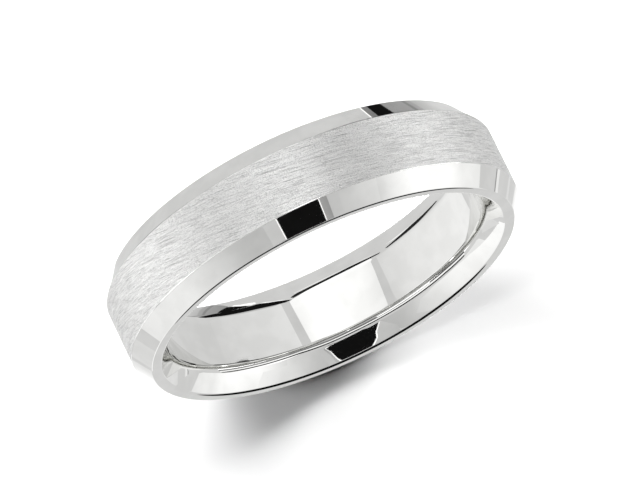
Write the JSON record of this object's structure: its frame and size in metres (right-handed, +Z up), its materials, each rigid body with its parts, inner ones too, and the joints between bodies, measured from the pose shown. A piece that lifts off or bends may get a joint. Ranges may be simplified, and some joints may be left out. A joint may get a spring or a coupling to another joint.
{
  "type": "wedding band",
  "caption": "Plain comfort-fit wedding band in white metal with a flat brushed centre between two polished bevels.",
  "frame": {"origin": "centre of the finger hole, halfway between the two side faces", "axes": "+Y along the ring's own axis, +Z up from the rim that the band stands on, +X to the right when a side face is seen from -Y"},
  "size_m": [0.0244, 0.006, 0.0244],
  "materials": {
    "white_gold": "high polish on the bevels, side faces and finger hole, brushed along the flat centre of the outside"
  },
  "bodies": {
    "root": {"band": "white_gold"}
  },
  "joints": []
}
